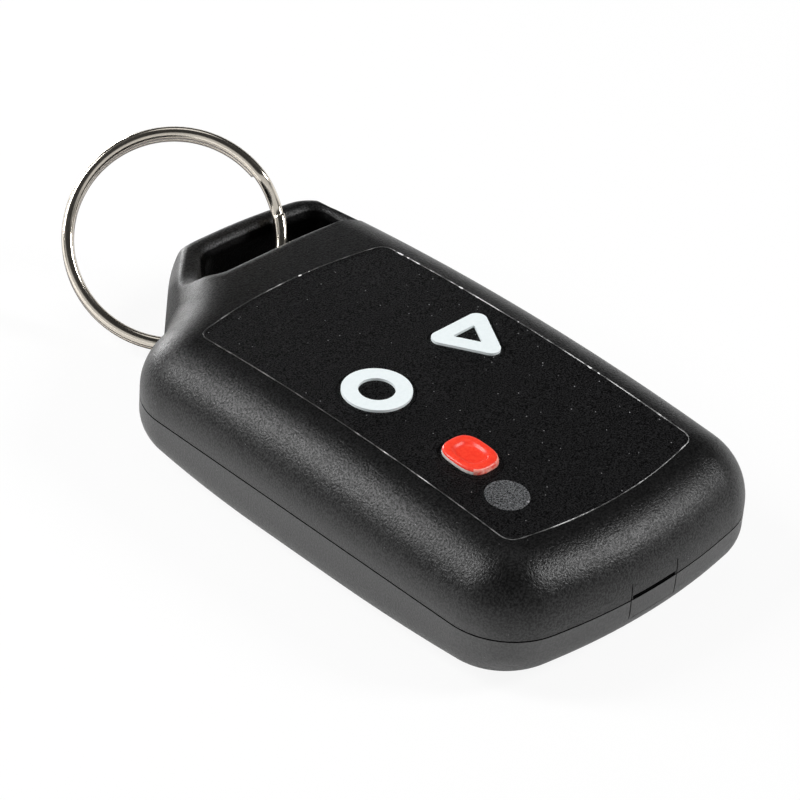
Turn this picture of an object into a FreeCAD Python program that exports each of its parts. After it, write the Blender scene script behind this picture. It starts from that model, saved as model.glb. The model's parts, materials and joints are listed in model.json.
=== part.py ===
import FreeCAD, Part
import math
import os

from FreeCAD import Vector

os.makedirs("parts", exist_ok=True)

# Remote key fob: a two-part snap case with a loop at one end, a flush film with
# three keys, a circuit board with a coin cell, and a two-turn split ring.
# Millimetres, back face on z = 0, the loop points along +Y.

# Case outline from above
case_half_width = 20.0
foot_y = -32.45
foot_radius_share = 3.5
foot_radius = foot_radius_share * case_half_width
foot_slope = 9.9
foot_corner = 8.0
shoulder_y = 26.0
shoulder_radius = 7.8
shoulder_slope = 20.0
shoulder_run = 8.6
armpit_radius = 5.0
arm_slope = 46.0
bar_reach = 14.1
bar_y = shoulder_y + bar_reach
bar_bend_share = 0.475
bar_bend_x = bar_bend_share * case_half_width
bar_bend_radius_share = 3.4
bar_bend_radius = bar_bend_radius_share * case_half_width
bar_slope = 8.5
bar_left_corner_share = 0.375
bar_left_corner = bar_left_corner_share * case_half_width
bar_right_corner = 5.0
loop_spare = 1.8
loop_end_y = bar_y + loop_spare
loop_root_lift = 2.0

# Stack from the back up: cell, board, switches, plungers, top wall
wall = 1.8
cell_low_z = 2.5
cell_height = 3.2
cell_headroom = 0.4
board_thickness = 1.2
switch_height = 5.0
plunger_flange_height = 0.9
plunger_headroom = 0.6
board_low_z = cell_low_z + cell_height + cell_headroom
board_top_z = board_low_z + board_thickness
plunger_low_z = board_top_z + switch_height
case_height = plunger_low_z + plunger_flange_height + plunger_headroom + wall

# Case outline from the side
crown_radius = 300.0
back_flat = 6.0
back_foot_radius = 190.0
back_head_radius = 115.0
parting_drop = 0.3
parting_z = board_top_z - parting_drop
parting_groove = 0.14
parting_groove_depth = 0.2
top_edge_share = 0.35
top_edge_radius = top_edge_share * case_half_width
bottom_edge_radius = 4.0

# Loop and its slot
loop_drop = 4.6
loop_top_z = case_height - loop_drop
loop_edge_radius = 1.3
ramp_offset = 1.6
ramp_start_y = shoulder_y + ramp_offset
ramp_length = 7.9
slot_offset = 3.3
slot_near_y = shoulder_y + slot_offset
slot_near_bend_radius = 60.0
slot_left_x = -5.2
slot_left_slope = 50.0
slot_left_corner = 2.0
slot_far_corner = 3.0
slot_right_corner = 2.2
bar_width = 3.1
right_arm_width = 2.7
slot_bevel = 1.0

# Cavity, lip, coin slot and snaps
cavity_head_y = shoulder_y
cavity_left_corner = 7.0
cavity_right_corner = 5.2
lip_height = 1.2
lip_gap = 0.05
lip_thickness = 0.85
coin_slot_half = 3.2
coin_slot_height = 0.4
coin_slot_depth = 1.3
insert_half = 3.3
insert_low_z = 4.5
insert_high_z = loop_top_z
insert_line = 0.15
insert_depth = 0.25
snap_places = (-14.0, 10.0)
snap_length = 5.0
snap_reach = 0.25
snap_low = 0.4
snap_high = 0.9

# Film and its bed
film_side_border = 6.4
film_head_border = 2.9
film_foot_border = 6.45
film_half_width = case_half_width - film_side_border
film_head_y = shoulder_y - film_head_border
film_head_radius_share = 4.15
film_foot_radius_share = 3.8
film_head_radius = film_head_radius_share * film_half_width
film_foot_radius = film_foot_radius_share * film_half_width
film_foot_y = foot_y + film_foot_border
film_slope = 12.0
film_corner = 1.5
film_thickness = 0.3
adhesive_thickness = 0.1
film_sunk = 0.05
film_side_gap = 0.12

# Keys
key_travel = 0.25
key_gap = 0.08
key_well_depth = 2 * key_travel
key_well_gap = 0.25
circle_inset = 6.64
circle_at = (circle_inset - film_half_width, 1.45)
circle_zone_radius = 4.1
circle_outer_radius = 3.75
circle_inner_radius = 1.96
triangle_inset = 6.0
triangle_at = (film_half_width - triangle_inset, 2.35)
triangle_corner_angles = (30.0, 150.0, 270.0)
triangle_inradius = 2.65
triangle_corner = 1.1
triangle_inner_inradius = 0.95
triangle_inner_corner = 0.15
triangle_rim = 0.35
square_inset = 6.2
square_foot_gap = 13.3
square_at = (square_inset - film_half_width, film_foot_y + square_foot_gap)
square_width = 4.4
square_length = 6.2
square_corner = 1.9
square_rim = 0.35
square_height = 0.55
square_dimple = 0.35
square_border = 0.9
mark_height = 0.3

# Plungers between film and switches
plunger_radius = 2.4
plunger_flange_radius = 3.3
guide_gap = 0.1
guide_wall = 0.9
guide_drop = 1.3
guide_low_z = plunger_low_z - guide_drop
guide_floor = 0.85

# Lamp window
lamp_inset = 5.03
lamp_foot_gap = 6.9
lamp_at = (lamp_inset - film_half_width, film_foot_y + lamp_foot_gap)
lamp_window_radius = 2.34
lamp_window_depth = 1.2
lamp_window_ledge = 0.5
lamp_standoff = 1.0
lamp_flange = 0.4
lamp_lead_spacing = 1.6
lamp_radius = 1.5
lamp_height = 4.0

# Circuit board
board_side_gap = 3.6
board_foot_gap = 5.45
board_head_gap = 2.5
board_half_width = case_half_width - board_side_gap
board_foot_y = foot_y + board_foot_gap
board_head_y = cavity_head_y - board_head_gap
board_corner = 4.0
post_radius = 2.0
post_foot_lift = 0.6
clamp_pin_radius = 1.8
pin_radius = 0.85
pin_gap = 0.15
post_side_inset = 2.8
post_foot_inset = 5.0
post_head_inset = 4.5
post_x = board_half_width - post_side_inset
post_foot_y = board_foot_y + post_foot_inset
post_head_y = board_head_y - post_head_inset

# Tact switches
switch_size = 6.0
switch_base_height = 3.1
switch_cover_thickness = 0.3
switch_stem_radius = 1.7
switch_well_radius = 2.3
switch_floor = 1.0
dome_radius = 2.1
dome_height = 0.55
dome_thickness = 0.1
switch_collar_radius = 2.1
switch_collar_gap = 0.3
terminal_spacing = 4.5
terminal_width = 0.7
terminal_thickness = 0.3
terminal_reach = 0.9

# Coin cell and holder
cell_at = (0.0, -6.0)
cell_radius = 10.0
cell_rim = 1.0
cell_cap_step = 0.3
cell_gasket = 0.5
cell_can_wall = 0.6
cell_cap_radius = cell_radius - cell_can_wall - cell_gasket
cell_rib_x = 4.5
cell_rib_width = 1.2
cell_rib_length = 14.0
cell_rib_sunk = 0.3
holder_low_z = 3.0
cell_clearance = 0.3
holder_wall = 1.2
contact_thickness = 0.25
contact_width = 4.0
contact_tab = 3.2

# Parts on the board
chip_at = (7.6, -12.6)
chip_size = (7.4, 9.9, 1.9)
chip_standoff = 0.15
chip_lead_count = 8
chip_lead_pitch = 1.1
chip_lead_width = 0.4
chip_lead_reach = 1.2
chip_lead_thickness = 0.2
resonator_step = (0.3, 9.85)
resonator_at = (triangle_at[0] + resonator_step[0], triangle_at[1] + resonator_step[1])
resonator_radius = 4.4
resonator_height = 3.2
resonator_rim = 0.5
trimmer_radius = 2.6
trimmer_height = 2.4
trimmer_slot = 0.6
antenna_wire = 0.9
antenna_side_inset = 5.8
antenna_head_inset = 2.3
antenna_half_width = board_half_width - antenna_side_inset
antenna_y = board_head_y - antenna_head_inset
antenna_lift = 2.6
antenna_bend = 1.5
transistor_drop = 4.8
transistor_inset = 7.5
transistor_at = (resonator_at[0] - transistor_inset, antenna_y - transistor_drop)
transistor_size = (2.9, 1.5, 1.1)
trimmer_step = (-4.9, -3.0)
trimmer_at = (transistor_at[0] + trimmer_step[0], transistor_at[1] + trimmer_step[1])
small_part_size = (2.0, 1.2, 0.6)
small_part_pitch = 2.4
resistor_start = (0.0, 1.0)
resistor_count = 6
capacitor_step = (0.3, -3.8)
capacitor_start = (transistor_at[0] + capacitor_step[0], transistor_at[1] + capacitor_step[1])
capacitor_count = 4

# Split ring
ring_outer_radius = 12.6
ring_wire = 1.4
ring_turn_gap = 0.45
ring_pitch = ring_wire + ring_turn_gap
ring_centre_x = 1.3
ring_centre_share = 0.397
ring_centre_y = bar_y - bar_width + ring_centre_share * ring_outer_radius
ring_normal = Vector(-0.495, -0.545, 0.675)
ring_crossing_angle = 24.0
ring_crossing_at = 16.0
ring_end_gap = 6.5
ring_arcs = 4
ring_sample = 0.1

# Reach of cutting tools, how far they start outside, and a touching distance
far = 80.0
margin = 1.0
touch = 0.01


# A closed outline from corners given as x, y and rounding radius
def rounded_wire(corners, level):
    count = len(corners)
    tangents = []
    for i in range(count):
        x, y, radius = corners[i]
        before = Vector(*corners[i - 1][:2], 0)
        after = Vector(*corners[(i + 1) % count][:2], 0)
        here = Vector(x, y, 0)
        back = (before - here).normalize()
        ahead = (after - here).normalize()
        half = back.getAngle(ahead) / 2
        reach = radius / math.tan(half)
        middle = here
        if radius:
            middle += (back + ahead).normalize() * (radius / math.sin(half) - radius)
        tangents.append((here + back * reach, middle, here + ahead * reach, radius))
    edges = []
    for i in range(count):
        start, middle, end, radius = tangents[i]
        if radius:
            edges.append(Part.Arc(start, middle, end).toShape())
        edges.append(Part.makeLine(end, tangents[(i + 1) % count][0]))
    wire = Part.Wire(edges)
    wire.translate(Vector(0, 0, level))
    return wire


def rounded_prism(corners, low, high):
    return Part.Face(rounded_wire(corners, low)).extrude(Vector(0, 0, high - low))


# The same outline moved inwards by one distance all round
def inset_corners(corners, inset):
    count = len(corners)
    moved = []
    for i in range(count):
        x, y, radius = corners[i]
        here = Vector(x, y, 0)
        behind = (here - Vector(*corners[i - 1][:2], 0)).normalize()
        ahead = (Vector(*corners[(i + 1) % count][:2], 0) - here).normalize()
        normals = [Vector(way.y, -way.x, 0) for way in (behind, ahead)]
        here += (normals[0] + normals[1]) * (inset / (1 + normals[0].dot(normals[1])))
        if radius:
            radius += inset if behind.cross(ahead).z > 0 else -inset
        moved.append((here.x, here.y, radius))
    return moved


def disc(at, radius, low, high):
    return Part.makeCylinder(radius, high - low, Vector(at[0], at[1], low))


def block(low, high):
    size = Vector(*high) - Vector(*low)
    return Part.makeBox(size.x, size.y, size.z, Vector(*low))


def centred_block(at, size, low):
    return block((at[0] - size[0] / 2, at[1] - size[1] / 2, low),
                 (at[0] + size[0] / 2, at[1] + size[1] / 2, low + size[2]))


def crown(y, sunk=0.0):
    return case_height - sunk - crown_radius + math.sqrt(crown_radius ** 2 - y * y)


def ray(angle):
    return Vector(math.cos(math.radians(angle)), math.sin(math.radians(angle)), 0)


def across(edges):
    face = Part.Face(Part.Wire(edges))
    face.translate(Vector(-far / 2, 0, 0))
    return face.extrude(Vector(far, 0, 0))


def under_crown(sunk, low, reach):
    top = Part.Arc(Vector(0, -reach, crown(reach, sunk)), Vector(0, 0, crown(0, sunk)),
                   Vector(0, reach, crown(reach, sunk)))
    sides = Part.makePolygon([Vector(0, reach, crown(reach, sunk)), Vector(0, reach, low),
                              Vector(0, -reach, low), Vector(0, -reach, crown(reach, sunk))])
    return across([top.toShape()] + sides.Edges)


def over_back(raised, high, reach):
    def point(share, sign):
        radius = (back_head_radius if sign > 0 else back_foot_radius) - raised
        angle = share * math.asin((reach - back_flat) / radius)
        return Vector(0, sign * (back_flat + radius * math.sin(angle)),
                      raised + radius * (1 - math.cos(angle)))

    arcs = [Part.Arc(point(1, sign), point(0.5, sign), point(0, sign)).toShape() for sign in (1, -1)]
    flat = Part.makeLine(point(0, 1), point(0, -1))
    sides = Part.makePolygon([point(1, -1), Vector(0, point(1, -1).y, high),
                              Vector(0, point(1, 1).y, high), point(1, 1)])
    return across([arcs[0], flat, arcs[1]] + sides.Edges)


def rim_edges(solid, low, high, end_y):
    found = []
    for edge in solid.Edges:
        box = edge.BoundBox
        inside = box.ZMin > low and box.ZMax < high and box.YMin < end_y
        crossing = box.YLength < touch and box.XLength > case_half_width
        if inside and not crossing:
            found.append(edge)
    return found


def foot_corners(half_width, inset, corner):
    radius = foot_radius - inset
    tip_y = foot_y + inset - radius * (1 / math.cos(math.radians(foot_slope)) - 1)
    side_y = tip_y + half_width * math.tan(math.radians(foot_slope))
    return [(half_width, side_y, corner), (0, tip_y, radius), (-half_width, side_y, corner)]


# Case form without its hollow
shoulder = Vector(-case_half_width, shoulder_y, 0)
armpit = shoulder + ray(shoulder_slope) * shoulder_run


def arm_x(y):
    return armpit.x + (y - armpit.y) / math.tan(math.radians(arm_slope))


case_corners = foot_corners(case_half_width, 0, foot_corner) + [
    (-case_half_width, shoulder_y, shoulder_radius),
    (armpit.x, armpit.y, armpit_radius),
    (arm_x(loop_end_y), loop_end_y, 0),
    (case_half_width, loop_end_y, 0),
]


def case_outline(low, high):
    return rounded_prism(case_corners, low, high)


def bar_line(x, width):
    return bar_y - width - max(0, x - bar_bend_x) * math.tan(math.radians(bar_slope))


loop_root_y = armpit.y + loop_root_lift
loop_corners = [
    (arm_x(bar_y), bar_y, bar_left_corner),
    (bar_bend_x, bar_y, bar_bend_radius),
    (case_half_width, bar_line(case_half_width, 0), bar_right_corner),
    (case_half_width, -far / 2, 0),
    (-far / 2, -far / 2, 0),
    (-far / 2, loop_root_y, 0),
    (arm_x(loop_root_y), loop_root_y, 0),
]
loop_trim = rounded_prism(loop_corners, -margin, far / 2)

ramp_high = crown(ramp_start_y)
ramp_drop = ramp_high - loop_top_z
ramp_angle = 2 * math.atan(ramp_drop / ramp_length)
ramp_radius = ramp_length / 2 / math.sin(ramp_angle)


def ramp_point(share):
    angle = ramp_angle * (1 - abs(2 * share - 1))
    run = ramp_radius * math.sin(angle)
    drop = ramp_radius * (1 - math.cos(angle))
    if share <= 0.5:
        return Vector(0, ramp_start_y + run, ramp_high - drop)
    return Vector(0, ramp_start_y + ramp_length - run, loop_top_z + drop)


ramp_cut = across([
    Part.Arc(ramp_point(0), ramp_point(0.25), ramp_point(0.5)).toShape(),
    Part.Arc(ramp_point(0.5), ramp_point(0.75), ramp_point(1)).toShape(),
] + Part.makePolygon([ramp_point(1), Vector(0, far, loop_top_z), Vector(0, far, far / 2),
                      Vector(0, ramp_start_y, far / 2), ramp_point(0)]).Edges)


def slot_corners(bevel):
    slant = math.tan(math.radians(slot_left_slope))
    shift = bevel / math.sin(math.radians(slot_left_slope))
    far_y = bar_line(0, bar_width) + bevel
    right_x = case_half_width - right_arm_width + bevel
    near_drop = (right_x - bar_bend_x) * math.tan(math.radians(bar_slope))
    return [
        (slot_left_x - shift, slot_near_y, slot_left_corner),
        (slot_left_x - shift + (far_y - slot_near_y) / slant, far_y, slot_far_corner),
        (bar_bend_x, far_y, bar_bend_radius - bar_width),
        (right_x, bar_line(right_x, bar_width) + bevel, slot_right_corner),
        (right_x, slot_near_y - near_drop, slot_right_corner),
        (bar_bend_x, slot_near_y, slot_near_bend_radius),
    ]


slot = rounded_prism(slot_corners(0), -margin, loop_top_z - slot_bevel)
slot_mouth = Part.makeLoft([
    rounded_wire(slot_corners(0), loop_top_z - slot_bevel),
    rounded_wire(slot_corners(slot_bevel), loop_top_z)], True, True)
slot_mouth_top = rounded_prism(slot_corners(slot_bevel), loop_top_z, far / 2)


def cavity_outline(inset, low, high):
    half_width = case_half_width - inset
    head = cavity_head_y + wall - inset
    return rounded_prism(foot_corners(half_width, inset, foot_corner - inset) + [
        (-half_width, head, cavity_left_corner + wall - inset),
        (half_width, head, cavity_right_corner + wall - inset),
    ], low, high)


def film_outline(gap, low, high):
    def tip(radius):
        return radius * (1 / math.cos(math.radians(film_slope)) - 1)

    half_width = film_half_width + gap
    fall = half_width * math.tan(math.radians(film_slope))
    head_tip = film_head_y + gap + tip(film_head_radius)
    foot_tip = film_foot_y - gap - tip(film_foot_radius)
    return rounded_prism([
        (0, head_tip, film_head_radius),
        (half_width, head_tip - fall, film_corner),
        (half_width, foot_tip + fall, film_corner),
        (0, foot_tip, film_foot_radius),
        (-half_width, foot_tip + fall, film_corner),
        (-half_width, head_tip - fall, film_corner),
    ], low, high)


def layer(outline, top_sunk, bottom_sunk):
    top = under_crown(top_sunk, 0, loop_end_y)
    below = under_crown(bottom_sunk, -margin, loop_end_y + margin)
    return outline.common(top).cut(below)


def triangle(at, inradius, corner, low, high):
    reach = 2 * inradius
    points = [(at[0] + reach * ray(a).x, at[1] + reach * ray(a).y, corner)
              for a in triangle_corner_angles]
    return rounded_prism(points, low, high)


def rounded_block(at, width, length, corner, low, high):
    x, y = width / 2, length / 2
    points = [(at[0] + a, at[1] + b, corner) for a, b in ((x, y), (-x, y), (-x, -y), (x, -y))]
    return rounded_prism(points, low, high)


def circle_zone(grow, low, high):
    return disc(circle_at, circle_zone_radius + grow, low, high)


def triangle_zone(grow, low, high):
    size = triangle_inradius + triangle_rim + grow
    return triangle(triangle_at, size, triangle_corner + triangle_rim + grow, low, high)


def square_zone(grow, low, high):
    rim = square_rim + grow
    return rounded_block(square_at, square_width + 2 * rim, square_length + 2 * rim,
                         square_corner + rim, low, high)


keys = {
    "circle": (circle_at, circle_zone),
    "triangle": (triangle_at, triangle_zone),
    "square": (square_at, square_zone),
}
bed_depth = film_sunk + film_thickness + adhesive_thickness
nodes = {}

# Upper case: shell, loop half, film bed, key wells, guides and board pins
upper = case_outline(-far / 4, far / 2).common(under_crown(0, -far / 4 - margin, loop_end_y + margin))
rim = rim_edges(upper, loop_top_z, far / 2 - margin, loop_end_y - touch)
upper = upper.makeFillet(top_edge_radius, rim)
upper = upper.common(loop_trim).cut(ramp_cut)
rounded_loop = rounded_prism(loop_corners, -margin, loop_top_z)
loop_rim = [edge for edge in rounded_loop.Edges
            if edge.BoundBox.ZMin > loop_top_z - touch and edge.BoundBox.YMax > ramp_start_y]
rounded_loop = rounded_loop.makeFillet(loop_edge_radius, loop_rim)
beyond_ramp = block((-far, ramp_start_y + ramp_length, 0), (far, far, far))
upper = upper.cut(beyond_ramp.cut(rounded_loop))
upper = upper.cut(slot).cut(slot_mouth).cut(slot_mouth_top)
hollow = cavity_outline(wall, -far / 4, far / 2)
hollow = hollow.common(under_crown(wall, -far / 4 - margin, loop_end_y + margin))
hollow = hollow.makeFillet(top_edge_radius - wall, rim_edges(hollow, loop_top_z, far / 2 - margin, far))
upper = upper.cut(hollow)
groove_inset = wall - lip_thickness - lip_gap
upper = upper.cut(cavity_outline(groove_inset, 0, parting_z + lip_height + lip_gap))
for at, zone in keys.values():
    ceiling = crown(abs(at[1]) + plunger_flange_radius, bed_depth + key_well_depth + guide_floor / 2)
    guide = disc(at, plunger_flange_radius + guide_gap + guide_wall, guide_low_z, ceiling)
    upper = upper.fuse(guide.cut(disc(at, plunger_flange_radius + guide_gap, 0, crown(at[1], wall))))
for x in (-post_x, post_x):
    for y in (post_foot_y, post_head_y):
        top = crown(abs(y) + post_radius, bed_depth + guide_floor / 2)
        upper = upper.fuse(disc((x, y), clamp_pin_radius, board_top_z, top))
upper = upper.cut(layer(film_outline(film_side_gap, 0, far), -wall, bed_depth))
for at, zone in keys.values():
    upper = upper.cut(layer(zone(key_well_gap, 0, far), 0, bed_depth + key_well_depth))
    upper = upper.cut(disc(at, plunger_radius + guide_gap, board_top_z, far))
window_seat = film_sunk + lamp_window_depth
upper = upper.cut(layer(disc(lamp_at, lamp_window_radius + key_gap, 0, far), 0, window_seat))
upper = upper.cut(disc(lamp_at, lamp_window_radius - lamp_window_ledge, board_top_z, far))

# Lower case: shell, loop half, lip, board posts and cell ribs
lower = case_outline(-margin, far / 2).common(over_back(0, far / 2 - margin, loop_end_y + margin))
lower = lower.makeFillet(bottom_edge_radius, rim_edges(lower, -touch, parting_z, loop_end_y - touch))
lower = lower.common(loop_trim).cut(slot)
above = block((-far, -far, parting_z), (far, far, far))
upper = upper.common(above)
lower = lower.cut(above)
hollow = cavity_outline(wall, -margin, far / 2)
hollow = hollow.common(over_back(wall, far / 2 - margin, loop_end_y + margin))
hollow = hollow.makeFillet(bottom_edge_radius - wall, rim_edges(hollow, -touch, parting_z, far))
lip = cavity_outline(wall - lip_thickness, parting_z - lip_height / 2, parting_z + lip_height)
lower = lower.fuse(lip).cut(hollow)
for x in (-post_x, post_x):
    for y in (post_foot_y, post_head_y):
        lower = lower.fuse(disc((x, y), post_radius, wall / 2 + post_foot_lift, board_low_z))
        lower = lower.fuse(disc((x, y), pin_radius, board_low_z, board_top_z - pin_gap))
for x in (-cell_rib_x, cell_rib_x):
    rib = block((x - cell_rib_width / 2, cell_at[1] - cell_rib_length / 2, wall / 2 + cell_rib_sunk),
                (x + cell_rib_width / 2, cell_at[1] + cell_rib_length / 2, cell_low_z))
    lower = lower.fuse(rib)

# Fine groove along the parting line
groove_low_z = parting_z - parting_groove
groove = block((-far, -far, groove_low_z), (far, far, parting_z))
core = [rounded_prism(inset_corners(corners, parting_groove_depth), groove_low_z, parting_z)
        for corners in (case_corners, loop_corners)]
groove = groove.cut(core[0].common(core[1]))
lower = lower.cut(groove)

# Snap beads on the lip and their pockets
for side in (-1, 1):
    face_x = case_half_width - wall + lip_thickness
    for y in snap_places:
        spans = []
        for grow in (0, lip_gap):
            x_low = side * (face_x - lip_thickness / 2)
            x_high = side * (face_x + snap_reach + grow)
            spans.append(block(
                (min(x_low, x_high), y - snap_length / 2 - grow, parting_z + snap_low - grow),
                (max(x_low, x_high), y + snap_length / 2 + grow, parting_z + snap_high + grow)))
        lower = lower.fuse(spans[0])
        upper = upper.cut(spans[1])

# Coin slot and insert outline in the foot wall
coin = block((-coin_slot_half, foot_y - margin, parting_z),
             (coin_slot_half, foot_y + coin_slot_depth, parting_z + coin_slot_height))
frame = block((-insert_half - insert_line, foot_y - margin, insert_low_z - insert_line),
              (insert_half + insert_line, foot_y + insert_depth, insert_high_z + insert_line))
frame = frame.cut(block((-insert_half, foot_y - margin, insert_low_z),
                        (insert_half, foot_y + insert_depth, insert_high_z)))
upper = upper.cut(coin).cut(frame)
lower = lower.cut(frame)
nodes["upper_case"] = upper
nodes["lower_case"] = lower

# Film, adhesive and lamp window
film = layer(film_outline(0, 0, far), film_sunk, film_sunk + film_thickness)
adhesive = layer(film_outline(0, 0, far), film_sunk + film_thickness, bed_depth)
window_hole = disc(lamp_at, lamp_window_radius + key_gap, 0, far)
film = film.cut(window_hole)
adhesive = adhesive.cut(window_hole)
for at, zone in keys.values():
    film = film.cut(zone(key_gap, 0, far))
    adhesive = adhesive.cut(zone(key_well_gap, 0, far))
nodes["label_overlay"] = film
nodes["label_adhesive"] = adhesive
nodes["led_window"] = layer(disc(lamp_at, lamp_window_radius, 0, far), film_sunk, window_seat)

# Keys: film zone, raised mark, plunger
marks = {
    "circle": disc(circle_at, circle_outer_radius, 0, far).cut(
        disc(circle_at, circle_inner_radius, -margin, far + margin)),
    "triangle": triangle(triangle_at, triangle_inradius, triangle_corner, 0, far).cut(
        triangle(triangle_at, triangle_inner_inradius, triangle_inner_corner, -margin, far + margin)),
}
for name, outline in marks.items():
    nodes["key_" + name + "_mark"] = layer(outline, film_sunk - mark_height, film_sunk)
pad = rounded_block(square_at, square_width, square_length, square_corner, 0, far)
pad = layer(pad, film_sunk - square_height, film_sunk)
dimple = rounded_block(square_at, square_width - 2 * square_border, square_length - 2 * square_border,
                       square_corner - square_border, 0, far)
pad_sunk = film_sunk - square_height
pad = pad.cut(layer(dimple, pad_sunk - margin, pad_sunk + square_dimple))
nodes["key_square_mark"] = pad
for name, (at, zone) in keys.items():
    nodes["key_" + name + "_film"] = layer(zone(0, 0, far), film_sunk, film_sunk + film_thickness)
    shaft = disc(at, plunger_radius, plunger_low_z, far)
    shaft = shaft.common(under_crown(film_sunk + film_thickness, 0, loop_end_y))
    flange = disc(at, plunger_flange_radius, plunger_low_z, plunger_low_z + plunger_flange_height)
    nodes["plunger_" + name] = shaft.fuse(flange)

# Tact switches
base_top_z = board_top_z + switch_base_height
well_floor_z = board_top_z + switch_floor
stem_low_z = well_floor_z + dome_height
for name, (at, zone) in keys.items():
    base = centred_block(at, (switch_size, switch_size, switch_base_height), board_top_z)
    nodes["switch_base_" + name] = base.cut(disc(at, switch_well_radius, well_floor_z, far))
    cover = centred_block(at, (switch_size, switch_size, switch_cover_thickness), base_top_z)
    nodes["switch_cover_" + name] = cover.cut(disc(at, switch_stem_radius + guide_gap, 0, far))
    collar_top = base_top_z - switch_collar_gap
    nodes["switch_stem_" + name] = disc(at, switch_stem_radius, stem_low_z, plunger_low_z).fuse(
        disc(at, switch_collar_radius, stem_low_z, collar_top))
    spot = Vector(at[0], at[1], well_floor_z)
    skin = Part.makeCone(dome_radius, dome_radius / 2, dome_height, spot)
    inside = Part.makeCone(dome_radius - dome_thickness, dome_radius / 2 - dome_thickness,
                           dome_height - dome_thickness, spot)
    nodes["switch_dome_" + name] = skin.cut(inside)
    legs = []
    for x in (-1, 1):
        for y in (-1, 1):
            leg_at = (at[0] + x * terminal_spacing / 2,
                      at[1] + y * (switch_size + terminal_reach) / 2)
            legs.append(centred_block(leg_at, (terminal_width, terminal_reach, terminal_thickness),
                                      board_top_z))
    nodes["switch_terminals_" + name] = Part.makeCompound(legs)

# Circuit board
board = rounded_prism([
    (-board_half_width, board_foot_y, board_corner), (board_half_width, board_foot_y, board_corner),
    (board_half_width, board_head_y, board_corner), (-board_half_width, board_head_y, board_corner),
], board_low_z, board_top_z)
for x in (-post_x, post_x):
    for y in (post_foot_y, post_head_y):
        board = board.cut(disc((x, y), pin_radius + pin_gap, 0, far))
nodes["circuit_board"] = board

# Encoder chip with its leads
chip_x, chip_y = chip_at
chip_low_z = board_top_z + chip_standoff
nodes["encoder_chip"] = centred_block(chip_at, chip_size, chip_low_z)
leads = []
for side in (-1, 1):
    for i in range(chip_lead_count):
        y = chip_y + (i - (chip_lead_count - 1) / 2) * chip_lead_pitch
        x = chip_x + side * chip_size[0] / 2
        foot = centred_block((x + side * chip_lead_reach / 2, y),
                             (chip_lead_reach, chip_lead_width, chip_lead_thickness), board_top_z)
        riser = centred_block((x + side * chip_lead_thickness / 2, y),
                              (chip_lead_thickness, chip_lead_width, chip_size[2] / 2), board_top_z)
        foot = foot.cut(nodes["encoder_chip"])
        leads.append(foot.fuse(riser).removeSplitter())
nodes["encoder_leads"] = Part.makeCompound(leads)

# Resonator, trimmer, transistor and small parts
nodes["resonator"] = disc(resonator_at, resonator_radius, board_top_z,
                          board_top_z + resonator_height).fuse(
    disc(resonator_at, resonator_radius + resonator_rim, board_top_z, board_top_z + resonator_rim))
trimmer_top = board_top_z + trimmer_height
nodes["trimmer"] = disc(trimmer_at, trimmer_radius, board_top_z, trimmer_top).cut(
    centred_block(trimmer_at, (2 * trimmer_radius - trimmer_slot, trimmer_slot, trimmer_slot),
                  trimmer_top - trimmer_slot))
transistor = centred_block(transistor_at, transistor_size, board_top_z)
nodes["transistor"] = transistor
legs = []
for dx, side in ((-transistor_size[0] / 3, -1), (transistor_size[0] / 3, -1), (0, 1)):
    y = transistor_at[1] + side * (transistor_size[1] + terminal_reach) / 2
    legs.append(centred_block((transistor_at[0] + dx, y),
                              (chip_lead_width, terminal_reach, chip_lead_thickness), board_top_z))
nodes["transistor_leads"] = Part.makeCompound(legs)
for name, start, count in (("chip_resistors", resistor_start, resistor_count),
                           ("chip_capacitors", capacitor_start, capacitor_count)):
    nodes[name] = Part.makeCompound([
        centred_block((start[0], start[1] - i * small_part_pitch), small_part_size, board_top_z)
        for i in range(count)])


# Antenna loop: a wire staple over the head of the board
def pipe(edges, radius):
    wire = Part.Wire(edges)
    start = edges[0].Vertexes[0].Point
    if len(edges) > 1 and start.distanceToPoint(edges[1].Vertexes[0].Point) < 1e-6:
        start = edges[0].Vertexes[-1].Point
    along = edges[0].tangentAt(edges[0].FirstParameter)
    section = Part.Wire(Part.makeCircle(radius, start, along))
    return wire.makePipeShell([section], True, False)


def bent_path(points, bend):
    edges = []
    start = points[0]
    for before, here, after in zip(points, points[1:], points[2:]):
        back = (before - here).normalize()
        ahead = (after - here).normalize()
        half = back.getAngle(ahead) / 2
        reach = bend / math.tan(half)
        middle = here + (back + ahead).normalize() * (bend / math.sin(half) - bend)
        edges.append(Part.makeLine(start, here + back * reach))
        edges.append(Part.Arc(here + back * reach, middle, here + ahead * reach).toShape())
        start = here + ahead * reach
    edges.append(Part.makeLine(start, points[-1]))
    return edges


antenna_z = board_top_z + antenna_lift
nodes["antenna_loop"] = pipe(bent_path([
    Vector(-antenna_half_width, antenna_y, board_top_z), Vector(-antenna_half_width, antenna_y, antenna_z),
    Vector(antenna_half_width, antenna_y, antenna_z), Vector(antenna_half_width, antenna_y, board_top_z),
], antenna_bend), antenna_wire / 2)

# Lamp
lamp_low_z = board_top_z + lamp_standoff
lamp_top_z = board_top_z + lamp_height
lamp = disc(lamp_at, lamp_radius, lamp_low_z, lamp_top_z - lamp_radius)
lamp = lamp.fuse(Part.makeSphere(lamp_radius, Vector(lamp_at[0], lamp_at[1], lamp_top_z - lamp_radius)))
lamp = lamp.fuse(disc(lamp_at, lamp_radius + lamp_flange, lamp_low_z, lamp_low_z + lamp_flange))
nodes["led_lamp"] = lamp.removeSplitter()
nodes["led_leads"] = Part.makeCompound([
    centred_block((lamp_at[0] + side * lamp_lead_spacing / 2, lamp_at[1]),
                  (chip_lead_width, chip_lead_width, lamp_standoff), board_top_z)
    for side in (-1, 1)])

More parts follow.
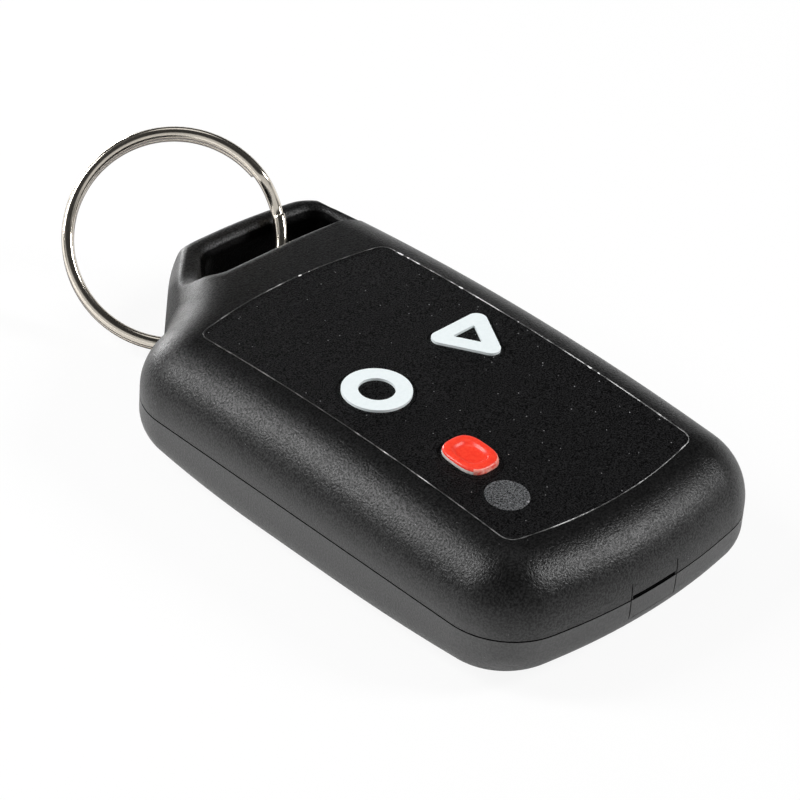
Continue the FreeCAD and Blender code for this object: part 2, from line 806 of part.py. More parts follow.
# Coin cell: can, gasket and cap
cell_top_z = cell_low_z + cell_height
can_top_z = cell_top_z - cell_cap_step
seat_z = can_top_z - cell_rim
nodes["battery_can"] = disc(cell_at, cell_radius, cell_low_z, can_top_z).cut(
    disc(cell_at, cell_cap_radius + cell_gasket, seat_z, far))
nodes["battery_gasket"] = disc(cell_at, cell_cap_radius + cell_gasket, seat_z, can_top_z).cut(
    disc(cell_at, cell_cap_radius, 0, far))
nodes["battery_cap"] = disc(cell_at, cell_cap_radius, seat_z, cell_top_z)

# Cell holder and its contacts under the board
holder_inner = cell_radius + cell_clearance
holder = disc(cell_at, holder_inner + holder_wall, holder_low_z, board_low_z)
holder = holder.cut(disc(cell_at, holder_inner, 0, far))
notch = contact_width + 2 * cell_clearance
holder = holder.cut(block((cell_at[0], cell_at[1] - notch / 2, 0), (far, cell_at[1] + notch / 2, far)))
nodes["battery_holder"] = holder
side_x = cell_at[0] + cell_radius
half = contact_width / 2
blade = block((side_x, cell_at[1] - half, cell_low_z + cell_rim),
              (side_x + contact_thickness, cell_at[1] + half, board_low_z))
tab = block((side_x, cell_at[1] - half, board_low_z - contact_thickness),
            (side_x + contact_tab, cell_at[1] + half, board_low_z))
nodes["battery_positive_contact"] = blade.fuse(tab).removeSplitter()
plate = block((cell_at[0] - contact_tab, cell_at[1] - half, board_low_z - contact_thickness),
              (cell_at[0] + contact_tab, cell_at[1] + half, board_low_z))
button = disc(cell_at, half / 2, cell_top_z, board_low_z)
nodes["battery_negative_contact"] = plate.fuse(button).removeSplitter()

# Split ring: two flat turns joined by a short crossing, one unbroken wire
ring_radius = ring_outer_radius - ring_wire / 2
level = ring_normal.normalize()
ring_low = ring_radius * math.sqrt(1 - level.z ** 2) + ring_pitch / 2 * level.z + ring_wire / 2
ring_hub = Vector(ring_centre_x, ring_centre_y, ring_low)
ring_u = Vector(0, 0, 1).cross(level).normalize()
ring_v = level.cross(ring_u)


def ring_point(angle, side):
    a = math.radians(angle)
    rise = level * (side * ring_pitch / 2)
    return ring_hub + ring_u * (ring_radius * math.cos(a)) + ring_v * (ring_radius * math.sin(a)) + rise


def ring_tangent(angle):
    a = math.radians(angle)
    return ring_v * math.cos(a) - ring_u * math.sin(a)


def tangent_arc(start, tangent, end):
    chord = end - start
    sag = chord.Length / 2 * math.tan(chord.getAngle(tangent) / 2)
    side = (tangent - chord * (tangent.dot(chord) / chord.dot(chord))).normalize()
    return Part.Arc(start, start + chord * 0.5 + side * sag, end).toShape()


def flat_turn(start, end, side):
    step = (end - start) / ring_arcs
    arcs = []
    for i in range(ring_arcs):
        a = start + i * step
        arcs.append(Part.Arc(ring_point(a, side), ring_point(a + step / 2, side),
                             ring_point(a + step, side)).toShape())
    return arcs


# Crossing from the lower to the upper turn: two arcs that meet with one tangent
cross_start = ring_crossing_at
cross_end = ring_crossing_at + ring_crossing_angle
start, end = ring_point(cross_start, -1), ring_point(cross_end, 1)
t_start, t_end = ring_tangent(cross_start), ring_tangent(cross_end)
chord = end - start
along = chord.dot(t_start + t_end)
turning = 2 * (t_start.dot(t_end) - 1)
reach = (2 * along - math.sqrt(4 * along * along - 4 * turning * chord.dot(chord))) / (2 * turning)
joint = (start + t_start * reach + end - t_end * reach) * 0.5
crossing = [tangent_arc(start, t_start, joint), tangent_arc(end, t_end * -1, joint)]
crossing[1] = Part.Arc(joint, crossing[1].valueAt(
    (crossing[1].FirstParameter + crossing[1].LastParameter) / 2), end).toShape()

# Path of the wire from one cut end to the other
first = cross_end + ring_end_gap
last = cross_start - ring_end_gap
ring_start = ring_point(first, -1)
ring_end = ring_point(last + 360, 1)
path = [Part.makeLine(ring_start - ring_tangent(first) * ring_wire, ring_start)]
path += flat_turn(first, cross_start + 360, -1)
path += crossing
path += flat_turn(cross_end, last + 360, 1)
path.append(Part.makeLine(ring_end, ring_end + ring_tangent(last) * ring_wire))
ring = pipe(path, ring_wire / 2)
nodes["split_ring"] = ring
length = sum(edge.Length for edge in path)
ring_volume = length * math.pi * ring_wire ** 2 / 4
print("ring wire", round(length, 2), "volume share", round(ring.Volume / ring_volume, 4))

# Least gap between parts of the wire that are not neighbours along it
samples = []
for edge in path:
    count = max(2, int(edge.Length / ring_sample))
    span = edge.LastParameter - edge.FirstParameter
    samples += [edge.valueAt(edge.FirstParameter + span * i / count) for i in range(count)]
apart = int(3 * ring_wire / ring_sample)
gap = min(a.distanceToPoint(b) for i, a in enumerate(samples) for b in samples[i + apart:])
print("ring least gap to itself", round(gap - ring_wire, 3))

# One file for each node
for name, shape in nodes.items():
    solids = shape.Solids
    if not shape.isValid() or not solids:
        print("faulty", name, shape.isValid(), len(solids))
    if len(solids) == 1:
        shape = solids[0]
    shape.exportStep("parts/" + name + ".step")
print(len(nodes), "nodes")
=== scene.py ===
import bpy
import json
import math
from mathutils import Matrix, Quaternion, Vector, noise


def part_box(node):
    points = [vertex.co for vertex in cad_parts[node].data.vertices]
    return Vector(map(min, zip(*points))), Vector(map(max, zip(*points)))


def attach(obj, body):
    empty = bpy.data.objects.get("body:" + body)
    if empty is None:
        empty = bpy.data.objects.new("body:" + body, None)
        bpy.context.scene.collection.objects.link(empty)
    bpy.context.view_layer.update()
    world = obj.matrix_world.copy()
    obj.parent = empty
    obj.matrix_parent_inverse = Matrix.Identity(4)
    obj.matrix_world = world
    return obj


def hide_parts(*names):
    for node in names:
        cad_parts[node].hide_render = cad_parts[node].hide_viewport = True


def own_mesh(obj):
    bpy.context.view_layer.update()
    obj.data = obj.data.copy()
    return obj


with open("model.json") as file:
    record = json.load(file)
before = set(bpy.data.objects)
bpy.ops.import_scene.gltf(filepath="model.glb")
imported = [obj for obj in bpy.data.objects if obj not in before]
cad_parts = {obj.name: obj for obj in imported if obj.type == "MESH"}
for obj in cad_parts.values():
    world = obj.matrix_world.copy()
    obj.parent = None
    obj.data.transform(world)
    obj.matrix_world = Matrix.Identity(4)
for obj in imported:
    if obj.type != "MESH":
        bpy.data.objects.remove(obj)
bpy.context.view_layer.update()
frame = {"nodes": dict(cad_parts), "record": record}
nodes = frame["nodes"]
mm = 0.001


def grey(level):
    return level, level, level, 1


# Shader node helpers
def new_material(name):
    mat = bpy.data.materials.new(name)
    mat.use_nodes = True
    tree = mat.node_tree
    tree.nodes.clear()
    out = tree.nodes.new("ShaderNodeOutputMaterial")
    shader = tree.nodes.new("ShaderNodeBsdfPrincipled")
    tree.links.new(shader.outputs["BSDF"], out.inputs["Surface"])
    return mat, tree, shader, object_coords(tree)


def object_coords(tree):
    return tree.nodes.new("ShaderNodeTexCoord").outputs["Object"]


def add(tree, kind, **values):
    node = tree.nodes.new(kind)
    for key, value in values.items():
        if key in node.inputs:
            node.inputs[key].default_value = value
        else:
            setattr(node, key, value)
    return node


def noise_tex(tree, coords, scale, detail=2.0, rough=0.5):
    tex = add(tree, "ShaderNodeTexNoise", Scale=scale, Detail=detail, Roughness=rough)
    tree.links.new(coords, tex.inputs["Vector"])
    return tex.outputs["Fac"]


def spots(tree, coords, scale, size):
    softness = 0.02
    tex = add(tree, "ShaderNodeTexVoronoi", Scale=scale, Randomness=1.0)
    tree.links.new(coords, tex.inputs["Vector"])
    return ramp(tree, tex.outputs["Distance"], [(size, grey(1)), (size + softness, grey(0))])


def ramp(tree, factor, stops):
    node = tree.nodes.new("ShaderNodeValToRGB")
    elements = node.color_ramp.elements
    while len(elements) < len(stops):
        elements.new(0.5)
    for element, (place, colour) in zip(elements, stops):
        element.position = place
        element.color = colour
    tree.links.new(factor, node.inputs["Fac"])
    return node.outputs["Color"]


def feed(tree, socket, value):
    if isinstance(value, (int, float, tuple)):
        socket.default_value = value
    else:
        tree.links.new(value, socket)


def mix(tree, factor, a, b):
    node = add(tree, "ShaderNodeMix", data_type="RGBA")
    for name, value in (("Factor", factor), ("A", a), ("B", b)):
        feed(tree, node.inputs[name], value)
    return node.outputs["Result"]


def maths(tree, operation, a, b):
    node = add(tree, "ShaderNodeMath", operation=operation)
    feed(tree, node.inputs[0], a)
    feed(tree, node.inputs[1], b)
    return node.outputs[0]


def bump(tree, shader, height, strength, distance):
    node = add(tree, "ShaderNodeBump", Strength=strength, Distance=distance)
    tree.links.new(height, node.inputs["Height"])
    tree.links.new(node.outputs["Normal"], shader.inputs["Normal"])
    return node


def between(tree, factor, low, high):
    node = add(tree, "ShaderNodeMapRange")
    node.inputs["To Min"].default_value = low
    node.inputs["To Max"].default_value = high
    tree.links.new(factor, node.inputs["Value"])
    return node.outputs["Result"]


# One where a place lies past all the given planes (normal, start), soft over a short way
def within(tree, coords, planes, soft):
    share = None
    for normal, start in planes:
        dot = add(tree, "ShaderNodeVectorMath", operation="DOT_PRODUCT")
        tree.links.new(coords, dot.inputs[0])
        dot.inputs[1].default_value = normal
        step = add(tree, "ShaderNodeMapRange")
        step.inputs["From Min"].default_value = start
        step.inputs["From Max"].default_value = start + soft
        tree.links.new(dot.outputs["Value"], step.inputs["Value"])
        result = step.outputs["Result"]
        share = result if share is None else maths(tree, "MINIMUM", share, result)
    return share


# Planes for within(): the side past a place along a direction, or short of it
def past(direction, place):
    return tuple(direction), place


def short_of(direction, place):
    return tuple(-direction), -place


# Places on the case
x_way, y_way, z_way = Vector((1, 0, 0)), Vector((0, 1, 0)), Vector((0, 0, 1))
arm_slant = math.radians(50.0)
across_arm = Vector((math.sin(arm_slant), -math.cos(arm_slant), 0))
slot_near, slot_far, slot_right, slot_top = 28.6 * mm, 38.1 * mm, 18.1 * mm, 10.65 * mm
slot_corner, slot_lip = Vector((-5.2, 29.3, 0)) * mm, 0.9 * mm
parting_level, parting_half = 6.93 * mm, 0.10 * mm
body_head, body_foot, flank_top = 29.0 * mm, -26.5 * mm, 11.0 * mm
loop_near, loop_rim, arm_right, arm_inner = 28.5 * mm, 8.5 * mm, -3.0 * mm, -24.3 * mm

slot_planes = (past(y_way, slot_near), short_of(y_way, slot_far), short_of(x_way, slot_right),
               short_of(z_way, slot_top), past(across_arm, slot_corner.dot(across_arm) - slot_lip))
parting_planes = (past(z_way, parting_level - parting_half), short_of(z_way, parting_level + parting_half))
side_planes = (short_of(z_way, flank_top), short_of(y_way, body_head))
foot_planes = (short_of(y_way, body_foot),)
lower_planes = (short_of(z_way, parting_level),)
body_planes = (short_of(y_way, body_head),)
loop_planes = (past(y_way, loop_near), past(z_way, loop_rim))
arm_planes = (past(y_way, loop_near), short_of(x_way, arm_right), short_of(across_arm, arm_inner))


# Painted light: lower flanks and lower shell painted paler, standing in for light bounced up from the white
# table
def painted_bounce_light(tree, coords, base):
    foot = between(tree, within(tree, coords, foot_planes, 4.0 * mm), 1.0, 0.45)
    flank = maths(tree, "MULTIPLY", within(tree, coords, side_planes, 3.5 * mm), foot)
    lower = maths(tree, "MULTIPLY", within(tree, coords, lower_planes, 0.05 * mm),
                  within(tree, coords, body_planes, 3.5 * mm))
    return mix(tree, lower, mix(tree, flank, base, grey(0.058)), grey(0.079))


# Painted shade: the slot and the parting line painted near black with little sheen, and the sheen on the outer
# face of the loop's arm turned down
def case_shadows(tree, coords, base, sheen):
    shadow = maths(tree, "MAXIMUM", within(tree, coords, slot_planes, 0.2 * mm),
                   within(tree, coords, parting_planes, 0.03 * mm))
    arm = within(tree, coords, arm_planes, 1.8 * mm)
    for share, kept in ((shadow, 0.06), (arm, 0.15)):
        sheen = maths(tree, "MULTIPLY", sheen, between(tree, share, 1.0, kept))
    return mix(tree, shadow, base, grey(0.0008)), sheen


# Moulded edges catch the light: fine ones on the case, round ones on its loop
def soft_edges(tree, coords, relief):
    bevel = add(tree, "ShaderNodeBevel", samples=8)
    at_loop = within(tree, coords, loop_planes, 1.0 * mm)
    tree.links.new(between(tree, at_loop, 0.1 * mm, 1.1 * mm), bevel.inputs["Radius"])
    tree.links.new(bevel.outputs["Normal"], relief.inputs["Normal"])


# Moulded or printed surface: fine grain in colour, sheen and height, with dust
def plastic(name, colour, second, rough, grain_scale, grain_strength, specks=0.0, grain_depth=0.03,
            shine=0.5, sparkle=0.1, spread=0.12, on_case=False):
    mat, tree, shader, coords = new_material(name)
    grain = noise_tex(tree, coords, grain_scale, 2.0, 0.6)
    contrast = ramp(tree, grain, [(0.5 - spread, grey(0)), (0.5 + spread, grey(1))])
    base = mix(tree, contrast, colour, second)
    # Painted light: paler lower flanks and lower shell on the case
    if on_case:
        base = painted_bounce_light(tree, coords, base)
    if specks:
        base = mix(tree, spots(tree, coords, 900.0, specks), base, (0.30, 0.30, 0.31, 1))
        base = mix(tree, spots(tree, coords, 2300.0, specks * 1.6), base, grey(0.06))
    sheen = between(tree, contrast, shine * (1 - sparkle), shine * (1 + sparkle))
    relief = bump(tree, shader, grain, grain_strength, grain_depth * mm)
    # Painted shade in the slot, on the parting line and on the loop's arm, then rounded edges
    if on_case:
        base, sheen = case_shadows(tree, coords, base, sheen)
        soft_edges(tree, coords, relief)
    tree.links.new(sheen, shader.inputs["Specular IOR Level"])
    tree.links.new(base, shader.inputs["Base Color"])
    broad = noise_tex(tree, coords, 400.0, 4.0)
    tree.links.new(between(tree, broad, rough - 0.05, rough + 0.07), shader.inputs["Roughness"])
    return mat


def metal(name, colour, second, rough):
    mat, tree, shader, coords = new_material(name)
    base = mix(tree, noise_tex(tree, coords, 300.0, 3.0), colour, second)
    tree.links.new(base, shader.inputs["Base Color"])
    shader.inputs["Metallic"].default_value = 1.0
    broad = noise_tex(tree, coords, 700.0, 3.0)
    tree.links.new(between(tree, broad, rough - 0.04, rough + 0.06), shader.inputs["Roughness"])
    bump(tree, shader, noise_tex(tree, coords, 900.0), 0.05, 0.02 * mm)
    return mat


# Cut edge of the film: black in some places, scraped white in others
def cut_edge(name, later):
    mat, tree, shader, coords = new_material(name)
    broken = ramp(tree, noise_tex(tree, coords, 260.0, 4.0, 0.7), [
        (0.42 + later, grey(0.01)), (0.49 + later, grey(0.12)), (0.55 + later, grey(0.32)), (0.61, grey(0.90))])
    fine = noise_tex(tree, coords, 2600.0)
    tree.links.new(mix(tree, between(tree, fine, 0.0, 0.45), broken, grey(0.02)), shader.inputs["Base Color"])
    shader.inputs["Roughness"].default_value = 0.55
    bump(tree, shader, fine, 0.4, 0.05 * mm)
    return mat


# Finishes: two colours, roughness, and for plastics the grain's scale and strength
case_black = plastic("case_black", (0.0010, 0.0010, 0.0011, 1), (0.0050, 0.0050, 0.0052, 1), 0.35, 4600.0,
                     0.9, grain_depth=0.06, shine=0.33, sparkle=0.40, specks=0.02, on_case=True)
film_dark = plastic("film_dark", (0.0002, 0.0002, 0.0003, 1), (0.0110, 0.0110, 0.0117, 1), 0.46, 6200.0,
                    0.9, grain_depth=0.04, shine=0.13, sparkle=0.6, specks=0.05, spread=0.09)
edge_pale, edge_broken = cut_edge("edge_pale", 0.0), cut_edge("edge_broken", 0.03)
chip_pale = plastic("chip_pale", grey(0.80), grey(0.95), 0.55, 2500.0, 0.2)
# Painted highlight: pale pink red for the pad's flank on its foot side
red_painted_highlight = plastic("red_painted_highlight", (0.90, 0.10, 0.07, 1), (0.98, 0.42, 0.34, 1), 0.32, 1800.0, 0.10)
flank_pale = plastic("flank_pale", (0.55, 0.52, 0.50, 1), (0.75, 0.70, 0.68, 1), 0.45, 2500.0, 0.2)
mark_white = plastic("mark_white", (0.82, 0.885, 0.895, 1), (0.85, 0.912, 0.922, 1), 0.45, 3000.0, 0.10)
mark_red = plastic("mark_red", (0.93, 0.040, 0.020, 1), (0.98, 0.062, 0.028, 1), 0.34, 2500.0, 0.10)
window_grey = plastic("window_grey", (0.003, 0.003, 0.004, 1), (0.150, 0.155, 0.160, 1), 0.50, 7200.0, 0.8,
                      specks=0.14, sparkle=0.5, spread=0.07)
nickel = metal("nickel", (0.80, 0.735, 0.64, 1), (0.92, 0.855, 0.75, 1), 0.16)
# Painted reflection: a dark brown metal for the wire's rims, where the ring mirrors dark surroundings
nickel_painted_dark = metal("nickel_painted_dark", (0.06, 0.042, 0.034, 1), (0.12, 0.09, 0.07, 1), 0.28)
steel = metal("steel", grey(0.62), grey(0.72), 0.25)
copper = metal("copper", (0.80, 0.42, 0.25, 1), (0.88, 0.5, 0.32, 1), 0.3)
board_green = plastic("board_green", (0.01, 0.11, 0.03, 1), (0.015, 0.16, 0.05, 1), 0.35, 1500.0, 0.1)
pale_plastic = plastic("pale_plastic", (0.55, 0.55, 0.52, 1), (0.65, 0.65, 0.62, 1), 0.45, 1800.0, 0.1)
black_part = plastic("black_part", (0.012, 0.012, 0.013, 1), (0.02, 0.02, 0.021, 1), 0.55, 2500.0, 0.2)
tan_part = plastic("tan_part", (0.35, 0.22, 0.12, 1), (0.45, 0.3, 0.17, 1), 0.5, 2500.0, 0.2)
paper_part = plastic("paper_part", (0.4, 0.4, 0.36, 1), (0.5, 0.5, 0.45, 1), 0.7, 2500.0, 0.2)
lamp_part = plastic("lamp_part", (0.5, 0.03, 0.02, 1), (0.6, 0.05, 0.03, 1), 0.2, 1500.0, 0.05)

finishes = {
    "case_black": case_black, "film_dark": film_dark, "mark_white": mark_white, "mark_red": mark_red,
    "window_grey": window_grey, "nickel": nickel, "tinned_metal": steel, "spring_steel": steel,
    "cell_steel": steel, "copper": copper, "board_green": board_green, "plunger_plastic": pale_plastic,
    "switch_black": black_part, "chip_black": black_part, "holder_plastic": black_part,
    "gasket": black_part, "ceramic_tan": tan_part, "adhesive": paper_part, "lamp_red": lamp_part,
}
for part in frame["record"]["subparts"]:
    obj = nodes[part["node"]]
    obj.data.materials.clear()
    obj.data.materials.append(finishes[part["material_slot"]])


# Meshes of the finer pieces
def build(name, verts, faces, mats, body, face_mats=None, smooth=True):
    mesh = bpy.data.meshes.new(name)
    mesh.from_pydata([tuple(v) for v in verts], [], faces)
    for mat in mats:
        mesh.materials.append(mat)
    for i, poly in enumerate(mesh.polygons):
        poly.use_smooth = smooth
        poly.material_index = face_mats[i] if face_mats else 0
    mesh.update()
    obj = bpy.data.objects.new(name, mesh)
    bpy.context.scene.collection.objects.link(obj)
    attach(obj, body)
    return obj


# Skin over rings of points, capped at both ends unless it closes on itself
def tube(sections, closed=False):
    count = len(sections[0])
    verts = [point for section in sections for point in section]
    faces = []
    rows = len(sections)
    for i in range(rows if closed else rows - 1):
        low, high = i * count, (i + 1) % rows * count
        for j in range(count):
            k = (j + 1) % count
            faces.append((low + j, low + k, high + k, high + j))
    if not closed:
        faces.append(tuple(reversed(range(count))))
        faces.append(tuple(range((rows - 1) * count, rows * count)))
    return verts, faces


def angles(count):
    return [2 * math.pi * j / count for j in range(count)]


# Cosine and sine of a superellipse: a power under 1 squares it off
def squared(angle, power):
    return [math.copysign(abs(share) ** power, share) for share in (math.cos(angle), math.sin(angle))]


# Split ring: two flattened turns that all but touch, on the wire of the CAD ring
ring_hub = Vector((1.3, 42.0022, 0)) * mm
ring_level = Vector((-0.495, -0.545, 0.675)).normalized()
ring_radius, ring_pitch, ring_wire = 11.9 * mm, 1.85 * mm, 1.4 * mm
ring_hub.z = ring_radius * math.sqrt(1 - ring_level.z ** 2) + ring_pitch / 2 * ring_level.z + ring_wire / 2
ring_u = Vector((0, 0, 1)).cross(ring_level).normalized()
ring_v = ring_level.cross(ring_u)
cross_start, cross_end, end_gap, end_reach = 16.0, 40.0, 6.5, 4.8
turn_pitch = 1.64 * mm
section_half = (0.69 * mm, 0.79 * mm)
section_steps, section_power = 28, 0.84
turn_steps = 420
tip_turn, tip_scale = 0.35, 0.85


def ring_rise(turned):
    share = min(max((turned - (cross_start + 360)) / (cross_end - cross_start), 0), 1)
    return (share * share * (3 - 2 * share) - 0.5) * turn_pitch


def ring_section(turned, scale=1.0):
    a = math.radians(turned)
    out = ring_u * math.cos(a) + ring_v * math.sin(a)
    centre = ring_hub + out * ring_radius + ring_level * ring_rise(turned)
    points = []
    for angle in angles(section_steps):
        across, along = squared(angle, section_power)
        points.append(centre + out * (across * section_half[0] * scale)
                      + ring_level * (along * section_half[1] * scale))
    return points


turn_first = cross_end + end_gap - end_reach
turn_last = cross_start - end_gap + 720 + end_reach
sections = [ring_section(turn_first - tip_turn, tip_scale)]
sections += [ring_section(turn_first + (turn_last - turn_first) * i / turn_steps)
             for i in range(turn_steps + 1)]
sections.append(ring_section(turn_last + tip_turn, tip_scale))
verts, faces = tube(sections)
# Painted reflection: faces along the outer and inner rims of the wire's section take the dark metal
flank = section_steps // 14
painted_dark_faces = [int(min(at, section_steps - 1 - at) < flank or abs(at - (section_steps - 1) / 2) < flank)
        for at in (i % section_steps for i in range(len(faces)))]
ring_piece = build("split_ring_turns", verts, faces, [nickel, nickel_painted_dark], "ring", painted_dark_faces)
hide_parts("split_ring")


# Red pad: a soft-edged block with a dish, its flank pale where the print ends and pale pink on the foot side as
# a painted highlight
pad_low, pad_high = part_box("key_square_mark")
pad_shift, pad_widened, pad_shortened = Vector((0.15, 0.20, 0)) * mm, 0.15 * mm, 0.18 * mm
pad_at = (pad_low + pad_high) / 2 + pad_shift
pad_half = (pad_high.x - pad_low.x) / 2 + pad_widened, (pad_high.y - pad_low.y) / 2 - pad_shortened
pad_power, pad_stretch, pad_steps = 2 / 2.9, 1.25, 48
crown_radius, crown_top, film_sunk = 300.0 * mm, 15.6 * mm, 0.05 * mm


def film_z(y):
    return crown_top - film_sunk - crown_radius + math.sqrt(crown_radius ** 2 - y * y)


def pad_ring(inset, rise):
    points = []
    for angle in angles(pad_steps):
        across, along = squared(angle, pad_power)
        x = pad_at.x + across * (pad_half[0] - inset)
        y = pad_at.y + along * (pad_half[1] - inset * pad_stretch)
        points.append(Vector((x, y, film_z(y) + rise)))
    return points


# Inset and rise in mm, from the foot of the flank over the rim into the dish
pad_profile = ((0.0, 0.0), (0.01, 0.10), (0.02, 0.22), (0.04, 0.34), (0.06, 0.44), (0.10, 0.53), (0.18, 0.60),
               (0.32, 0.645), (0.52, 0.66), (0.70, 0.655), (0.80, 0.635), (0.88, 0.59), (0.97, 0.50),
               (1.07, 0.40), (1.18, 0.33), (1.32, 0.29), (1.50, 0.28))
verts, faces = tube([pad_ring(inset * mm, rise * mm) for inset, rise in pad_profile])
pale_span = range(pad_steps * 5 // 16, pad_steps * 10 // 16)
# Painted highlight: the lower rows of the flank on the foot side
highlight_span = range(pad_steps * 10 // 16, pad_steps * 15 // 16)
pale_rows, highlight_rows = 3, 6
pad_faces = []
for i in range(len(faces)):
    row, at = divmod(i, pad_steps)
    pale, highlit = row < pale_rows and at in pale_span, row < highlight_rows and at in highlight_span
    pad_faces.append(1 if pale else 2 if highlit else 0)
pad = build("key_square_pad", verts, faces, [mark_red, flank_pale, red_painted_highlight], "key_square", pad_faces)
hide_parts("key_square_mark")


# Snap domes of the switches: a thin shell with a flat top that slopes down to its rim
key_travel, dome_thickness, dome_steps, dome_shoulder = 0.25 * mm, 0.1 * mm, 32, 0.05 * mm
for shape in ("circle", "triangle", "square"):
    replaced = "switch_dome_" + shape
    dome_low, dome_high = (Vector(corner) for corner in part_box(replaced))
    middle = (dome_low + dome_high) / 2
    height = dome_high.z - dome_low.z
    outer = (dome_high.x - dome_low.x) / 2
    pole = outer * 0.02
    profile = ((pole, height), (outer / 2 - dome_shoulder, height), (outer, 0), (outer - dome_thickness, 0),
               (outer / 2 - dome_thickness, height - dome_thickness), (pole, height - dome_thickness))
    verts, faces = tube([[
        Vector((middle.x + radius * math.cos(angle), middle.y - radius * math.sin(angle), dome_low.z + rise))
        for angle in angles(dome_steps)] for radius, rise in profile])
    dome = build("snap_dome_" + shape, verts, faces, [steel], "case", smooth=False)
    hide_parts(replaced)
    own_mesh(dome)


# Whitened cut edge of the film: a fine bead on the outline of its top face, thicker at chips
def outline_of(node):
    seen = {}
    mesh = nodes[node].data
    for poly in mesh.polygons:
        if poly.normal.z < 0.9:
            continue
        corners = [tuple(round(c, 6) for c in mesh.vertices[v].co) for v in poly.vertices]
        for a, b in zip(corners, corners[1:] + corners[:1]):
            seen[frozenset((a, b))] = None if frozenset((a, b)) in seen else (a, b)
    following = {pair[0]: pair[1] for pair in seen.values() if pair}
    loops = []
    while following:
        start, here = following.popitem()
        loop = [start]
        while here != start and here in following:
            loop.append(here)
            here = following.pop(here)
        loops.append(loop)
    return max(loops, key=lambda loop: max(p[1] for p in loop) - min(p[1] for p in loop))


def evenly(points, step):
    placed = []
    for here, ahead in zip(points, points[1:] + points[:1]):
        count = max(1, round((ahead - here).length / step))
        placed += [here.lerp(ahead, i / count) for i in range(count)]
    return placed


bead_pitch, bead_radius, bead_steps, bead_share = 0.15 * mm, 0.065 * mm, 8, 0.8
chip_scale, chip_level = 900.0, 0.34
bold_growth, fine_growth = 7.5, 2.5
bold_left, bold_foot, head_depth = 2 * mm, -14 * mm, 5 * mm
edge_line = evenly([Vector(point) for point in outline_of("label_overlay")], bead_pitch)
head_edge = max(point.y for point in edge_line) - head_depth
rings, bead_faces = [], []
for i, here in enumerate(edge_line):
    ahead = (edge_line[(i + 1) % len(edge_line)] - edge_line[i - 1]).normalized()
    side = ahead.cross(Vector((0, 0, 1))).normalized()
    chip = max(0.0, noise.noise(here * chip_scale) - chip_level)
    bold = here.x > bold_left and here.y > bold_foot
    radius = bead_radius * (bead_share + (bold_growth if bold else fine_growth) * chip)
    rings.append([here + side * radius * math.cos(angle) + Vector((0, 0, bead_radius)) * math.sin(angle)
                  for angle in angles(bead_steps)])
    bead_faces += [2 if bold and chip else int(here.y > head_edge)] * bead_steps
verts, faces = tube(rings, closed=True)
build("label_cut_edge", verts, faces, [edge_pale, edge_broken, chip_pale], "case", bead_faces)


# Floor and surroundings
floor_half, floor_gap = 3000 * mm, 0.2 * mm
floor_corners = [(x * floor_half, y * floor_half, 0) for x, y in ((-1, -1), (1, -1), (1, 1), (-1, 1))]
floor_mesh = bpy.data.meshes.new("floor")
floor_mesh.from_pydata(floor_corners, [], [(0, 1, 2, 3)])
floor = bpy.data.objects.new("floor", floor_mesh)
bpy.context.scene.collection.objects.link(floor)
floor.location.z = -floor_gap
floor_mat, tree, shader, coords = new_material("floor_white")
floor.data.materials.append(floor_mat)
tree.links.new(mix(tree, noise_tex(tree, coords, 4.0), grey(0.93), grey(0.95)), shader.inputs["Base Color"])
shader.inputs["Roughness"].default_value = 0.9


# The camera sees the second shader by the given share, and every other ray the first
def blend_for_camera(tree, first, second, surface, share=None):
    path = tree.nodes.new("ShaderNodeLightPath")
    blend = tree.nodes.new("ShaderNodeMixShader")
    at_camera = path.outputs["Is Camera Ray"]
    tree.links.new(maths(tree, "MULTIPLY", at_camera, share) if share else at_camera, blend.inputs["Fac"])
    tree.links.new(first, blend.inputs[1])
    tree.links.new(second, blend.inputs[2])
    tree.links.new(blend.outputs["Shader"], surface)


white = add(tree, "ShaderNodeEmission", Color=grey(1), Strength=1.0)
surface = shader.outputs["BSDF"].links[0].to_socket
blend_for_camera(tree, shader.outputs["BSDF"], white.outputs["Emission"], surface, 0.90)

# White to the camera; around the part a pale horizon, a pale wall and a patch of sky
world = bpy.data.worlds.new("studio")
bpy.context.scene.world = world
world.use_nodes = True
tree = world.node_tree
tree.nodes.clear()
out = tree.nodes.new("ShaderNodeOutputWorld")
seen = add(tree, "ShaderNodeBackground", Color=grey(1), Strength=1.0)
fill = add(tree, "ShaderNodeBackground", Strength=1.0)
direction = tree.nodes.new("ShaderNodeTexCoord").outputs["Generated"]
heading = tree.nodes.new("ShaderNodeSeparateXYZ")
tree.links.new(direction, heading.inputs["Vector"])
horizon = ramp(tree, heading.outputs["Z"], [
    (0.0, grey(1.0)), (0.12, grey(0.62)), (0.26, grey(0.08)), (0.55, grey(0.02)), (1.0, grey(0.03))])
wall_way, wall_top, wall_level = (-0.73, -0.68, 0), 0.66, 0.55
sky_way = (0.20, 0.16, 0.966)
wall = within(tree, direction, (past(wall_way, 0.45), short_of(z_way, wall_top)), 0.12)
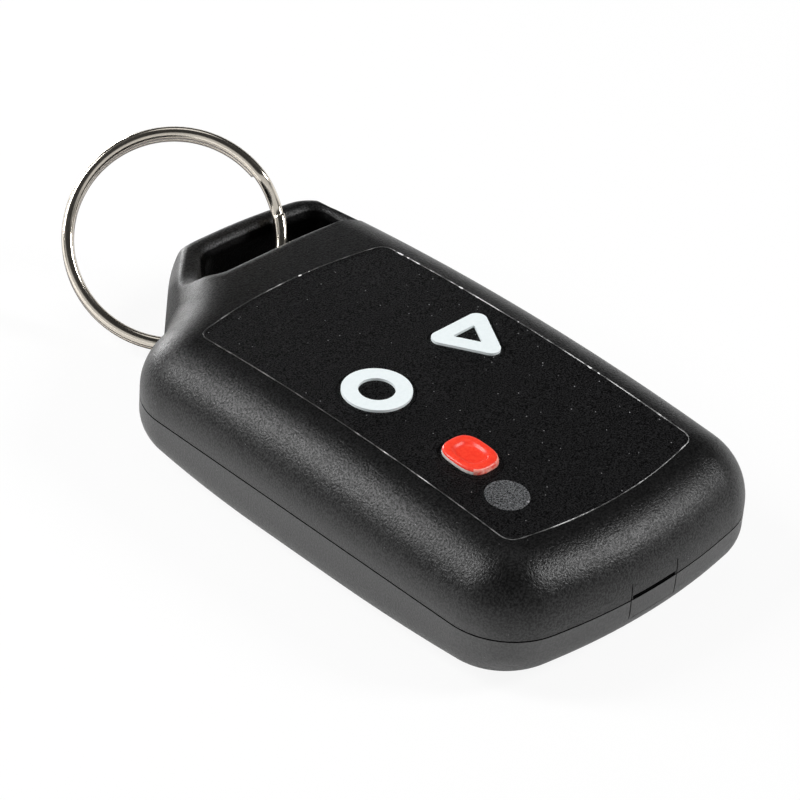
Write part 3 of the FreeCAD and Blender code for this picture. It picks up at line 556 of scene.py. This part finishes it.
sky = within(tree, direction, (past(sky_way, 0.965),), 0.015)
glow = maths(tree, "MAXIMUM", maths(tree, "MULTIPLY", wall, wall_level), sky)
tree.links.new(maths(tree, "MAXIMUM", horizon, glow), fill.inputs["Color"])
blend_for_camera(tree, fill.outputs["Background"], seen.outputs["Background"], out.inputs["Surface"])


def area(name, place, aim, size, power, spin=0):
    data = bpy.data.lights.new(name, "AREA")
    data.shape = "RECTANGLE"
    data.size, data.size_y = size
    data.energy = power
    lamp = bpy.data.objects.new(name, data)
    lamp.location = place
    turn = (Vector(aim) - Vector(place)).to_track_quat("-Z", "Y")
    lamp.rotation_euler = (turn @ Quaternion((0, 0, 1), math.radians(spin))).to_euler()
    bpy.context.scene.collection.objects.link(lamp)


area("left_strip", (-0.335, 0.320, 0.375), (0, 0, 0.01), (0.40, 0.14), 3.1, 90)
area("right_front", (0.305, -0.325, 0.340), (0, 0, 0.01), (0.14, 0.20), 1.95)
area("back_low", (0.07, 0.42, 0.045), (-0.012, 0.028, 0.008), (0.22, 0.07), 0.9)

# Camera at the photograph's angle, fitted to the label, case and marks
azimuth, elevation, roll = (math.radians(angle) for angle in (-46.9455, 35.6929, 4.4551))
target, distance = Vector((8.0271, 12.0765, 1.6)) * mm, 407.103 * mm
focal_px, image_px, sensor = 3715.68, 800, 36.0
back = Vector((math.sin(azimuth) * math.cos(elevation), -math.cos(azimuth) * math.cos(elevation),
               math.sin(elevation)))
right = Vector((math.cos(azimuth), math.sin(azimuth), 0))
up = back.cross(right)
axes = Matrix((right * math.cos(roll) + up * math.sin(roll),
               up * math.cos(roll) - right * math.sin(roll), back)).transposed()
camera_data = bpy.data.cameras.new("camera")
camera_data.sensor_width = sensor
camera_data.lens = focal_px / image_px * sensor
camera_data.clip_start = 0.01
camera = bpy.data.objects.new("camera", camera_data)
camera.matrix_world = Matrix.Translation(target + back * distance) @ axes.to_4x4()
bpy.context.scene.collection.objects.link(camera)
bpy.context.scene.camera = camera
bpy.context.scene.view_settings.view_transform = "Standard"
